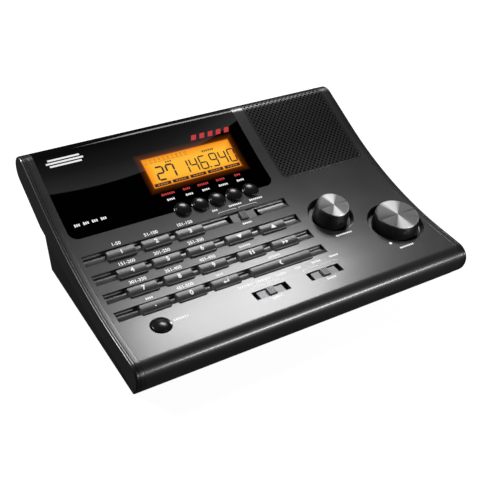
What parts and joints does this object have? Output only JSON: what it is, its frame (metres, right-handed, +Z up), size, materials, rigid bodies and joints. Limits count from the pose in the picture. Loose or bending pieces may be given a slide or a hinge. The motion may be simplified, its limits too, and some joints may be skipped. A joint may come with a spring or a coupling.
{
  "type": "desktop radio scanner",
  "caption": "Sloping desktop scanning receiver with clock: keypad, lit display, push buttons, slide switches, two turning knobs and a loudspeaker behind a perforated grille.",
  "frame": {"origin": "under the middle of the case, on the surface that its feet stand on", "axes": "+X to the right as seen by the user, +Y from the rounded front edge to the back, +Z up"},
  "size_m": [0.23, 0.17, 0.0602],
  "materials": {
    "panel_plastic": "moulded, metallic charcoal paint, fine satin grain",
    "cheek_plastic": "satin dark grey",
    "base_plastic": "fine spark-eroded texture, black",
    "window_acrylic": "polished, back-printed black",
    "display_amber": "lit amber liquid crystal display",
    "white_plastic": "plain",
    "grille_metal": "perforated sheet, black semi-gloss paint",
    "pressed_steel": "plain pressed",
    "cone_paper": "treated paper pulp",
    "magnet_ferrite": "ground",
    "keymat_rubber": "silicone, dull",
    "circuit_board": "green solder mask",
    "component_black": "moulded epoxy",
    "plated_metal": "nickel plated",
    "screw_steel": "zinc plated",
    "foot_rubber": "dull",
    "cell_jacket": "printed shrink film",
    "key_plastic": "metallic grey paint, satin",
    "button_plastic": "polished black",
    "slider_plastic": "metallic grey paint, satin",
    "knob_plastic": "satin black",
    "spun_aluminium": "spun face with a bright bevelled rim"
  },
  "bodies": {
    "case": {"top_housing": "panel_plastic", "left_side_cheek": "cheek_plastic", "right_side_cheek": "cheek_plastic", "base_cover": "base_plastic", "rear_panel": "base_plastic", "display_window": "window_acrylic", "lcd_frame": "white_plastic", "lcd_glass": "display_amber", "backlight_panel": "white_plastic", "speaker_grille": "grille_metal", "speaker_basket": "pressed_steel", "speaker_cone": "cone_paper", "speaker_magnet": "magnet_ferrite", "rubber_keymat": "keymat_rubber", "key_board": "circuit_board", "switch_boards": "circuit_board", "switch_bodies": "pressed_steel", "main_board": "circuit_board", "board_components": "component_black", "volume_controls": "pressed_steel", "aerial_jack": "plated_metal", "power_jack": "component_black", "earphone_jack": "component_black", "screws": "screw_steel", "rubber_feet": "foot_rubber", "battery_cells": "cell_jacket", "battery_contacts": "plated_metal"},
    "key_1": {"key_1": "key_plastic"},
    "key_2": {"key_2": "key_plastic"},
    "key_3": {"key_3": "key_plastic"},
    "key_4": {"key_4": "key_plastic"},
    "key_5": {"key_5": "key_plastic"},
    "key_6": {"key_6": "key_plastic"},
    "key_7": {"key_7": "key_plastic"},
    "key_8": {"key_8": "key_plastic"},
    "key_9": {"key_9": "key_plastic"},
    "key_point": {"key_point": "key_plastic"},
    "key_0": {"key_0": "key_plastic"},
    "key_enter": {"key_enter": "key_plastic"},
    "key_down": {"key_down": "key_plastic"},
    "key_up": {"key_up": "key_plastic"},
    "key_hold": {"key_hold": "key_plastic"},
    "key_scan": {"key_scan": "key_plastic"},
    "key_snooze": {"key_snooze": "key_plastic"},
    "function_button_1": {"function_button_1": "button_plastic"},
    "function_button_2": {"function_button_2": "button_plastic"},
    "function_button_3": {"function_button_3": "button_plastic"},
    "function_button_4": {"function_button_4": "button_plastic"},
    "function_button_5": {"function_button_5": "button_plastic"},
    "power_button": {"power_button": "button_plastic"},
    "mode_slider": {"mode_slider": "slider_plastic"},
    "time_slider": {"time_slider": "slider_plastic"},
    "alarm_slider": {"alarm_slider": "slider_plastic"},
    "squelch_dial": {"squelch_knob": "knob_plastic", "squelch_knob_cap": "spun_aluminium", "squelch_shaft": "screw_steel"},
    "volume_dial": {"volume_knob": "knob_plastic", "volume_knob_cap": "spun_aluminium", "volume_shaft": "screw_steel"},
    "battery_door": {"battery_door": "base_plastic"}
  },
  "joints": [
    {"name": "key_1_press", "type": "slide", "parent": "case", "child": "key_1", "axis": [0, 0.1484, -0.9889], "range_m": [0, 0.0012], "stiffness_N_per_m": 400},
    {"name": "key_2_press", "type": "slide", "parent": "case", "child": "key_2", "axis": [0, 0.1484, -0.9889], "range_m": [0, 0.0012], "stiffness_N_per_m": 400},
    {"name": "key_3_press", "type": "slide", "parent": "case", "child": "key_3", "axis": [0, 0.1484, -0.9889], "range_m": [0, 0.0012], "stiffness_N_per_m": 400},
    {"name": "key_4_press", "type": "slide", "parent": "case", "child": "key_4", "axis": [0, 0.1484, -0.9889], "range_m": [0, 0.0012], "stiffness_N_per_m": 400},
    {"name": "key_5_press", "type": "slide", "parent": "case", "child": "key_5", "axis": [0, 0.1484, -0.9889], "range_m": [0, 0.0012], "stiffness_N_per_m": 400},
    {"name": "key_6_press", "type": "slide", "parent": "case", "child": "key_6", "axis": [0, 0.1484, -0.9889], "range_m": [0, 0.0012], "stiffness_N_per_m": 400},
    {"name": "key_7_press", "type": "slide", "parent": "case", "child": "key_7", "axis": [0, 0.1484, -0.9889], "range_m": [0, 0.0012], "stiffness_N_per_m": 400},
    {"name": "key_8_press", "type": "slide", "parent": "case", "child": "key_8", "axis": [0, 0.1484, -0.9889], "range_m": [0, 0.0012], "stiffness_N_per_m": 400},
    {"name": "key_9_press", "type": "slide", "parent": "case", "child": "key_9", "axis": [0, 0.1484, -0.9889], "range_m": [0, 0.0012], "stiffness_N_per_m": 400},
    {"name": "key_point_press", "type": "slide", "parent": "case", "child": "key_point", "axis": [0, 0.1484, -0.9889], "range_m": [0, 0.0012], "stiffness_N_per_m": 400},
    {"name": "key_0_press", "type": "slide", "parent": "case", "child": "key_0", "axis": [0, 0.1484, -0.9889], "range_m": [0, 0.0012], "stiffness_N_per_m": 400},
    {"name": "key_enter_press", "type": "slide", "parent": "case", "child": "key_enter", "axis": [0, 0.1484, -0.9889], "range_m": [0, 0.0012], "stiffness_N_per_m": 400},
    {"name": "key_down_press", "type": "slide", "parent": "case", "child": "key_down", "axis": [0, 0.1484, -0.9889], "range_m": [0, 0.0012], "stiffness_N_per_m": 400},
    {"name": "key_up_press", "type": "slide", "parent": "case", "child": "key_up", "axis": [0, 0.1484, -0.9889], "range_m": [0, 0.0012], "stiffness_N_per_m": 400},
    {"name": "key_hold_press", "type": "slide", "parent": "case", "child": "key_hold", "axis": [0, 0.1484, -0.9889], "range_m": [0, 0.0012], "stiffness_N_per_m": 400},
    {"name": "key_scan_press", "type": "slide", "parent": "case", "child": "key_scan", "axis": [0, 0.1484, -0.9889], "range_m": [0, 0.0012], "stiffness_N_per_m": 400},
    {"name": "key_snooze_press", "type": "slide", "parent": "case", "child": "key_snooze", "axis": [0, 0.1484, -0.9889], "range_m": [0, 0.0012], "stiffness_N_per_m": 400},
    {"name": "function_button_1_press", "type": "slide", "parent": "case", "child": "function_button_1", "axis": [0, 0.3004, -0.9538], "range_m": [0, 0.0008], "stiffness_N_per_m": 600},
    {"name": "function_button_2_press", "type": "slide", "parent": "case", "child": "function_button_2", "axis": [0, 0.3004, -0.9538], "range_m": [0, 0.0008], "stiffness_N_per_m": 600},
    {"name": "function_button_3_press", "type": "slide", "parent": "case", "child": "function_button_3", "axis": [0, 0.3004, -0.9538], "range_m": [0, 0.0008], "stiffness_N_per_m": 600},
    {"name": "function_button_4_press", "type": "slide", "parent": "case", "child": "function_button_4", "axis": [0, 0.3004, -0.9538], "range_m": [0, 0.0008], "stiffness_N_per_m": 600},
    {"name": "function_button_5_press", "type": "slide", "parent": "case", "child": "function_button_5", "axis": [0, 0.3004, -0.9538], "range_m": [0, 0.0008], "stiffness_N_per_m": 600},
    {"name": "power_button_press", "type": "slide", "parent": "case", "child": "power_button", "axis": [0, 0.0063, -1], "range_m": [0, 0.0008], "stiffness_N_per_m": 600},
    {"name": "mode_slider_slide", "type": "slide", "parent": "case", "child": "mode_slider", "axis": [1, 0, 0], "range_m": [-0.003, 0.003]},
    {"name": "time_slider_slide", "type": "slide", "parent": "case", "child": "time_slider", "axis": [1, 0, 0], "range_m": [-0.003, 0.003]},
    {"name": "alarm_slider_slide", "type": "slide", "parent": "case", "child": "alarm_slider", "axis": [1, 0, 0], "range_m": [-0.003, 0.003]},
    {"name": "squelch_dial_turn", "type": "hinge", "parent": "case", "child": "squelch_dial", "pos_m": [0.0543, -0.0191, 0.02803], "axis": [0, -0.1617, 0.9868], "range_deg": [-140, 140]},
    {"name": "volume_dial_turn", "type": "hinge", "parent": "case", "child": "volume_dial", "pos_m": [0.09, -0.0418, 0.02535], "axis": [0, -0.0719, 0.9974], "range_deg": [-280, 0]},
    {"name": "battery_door_slide", "type": "slide", "parent": "case", "child": "battery_door", "axis": [0, 1, 0], "range_m": [0, 0.02]}
  ]
}
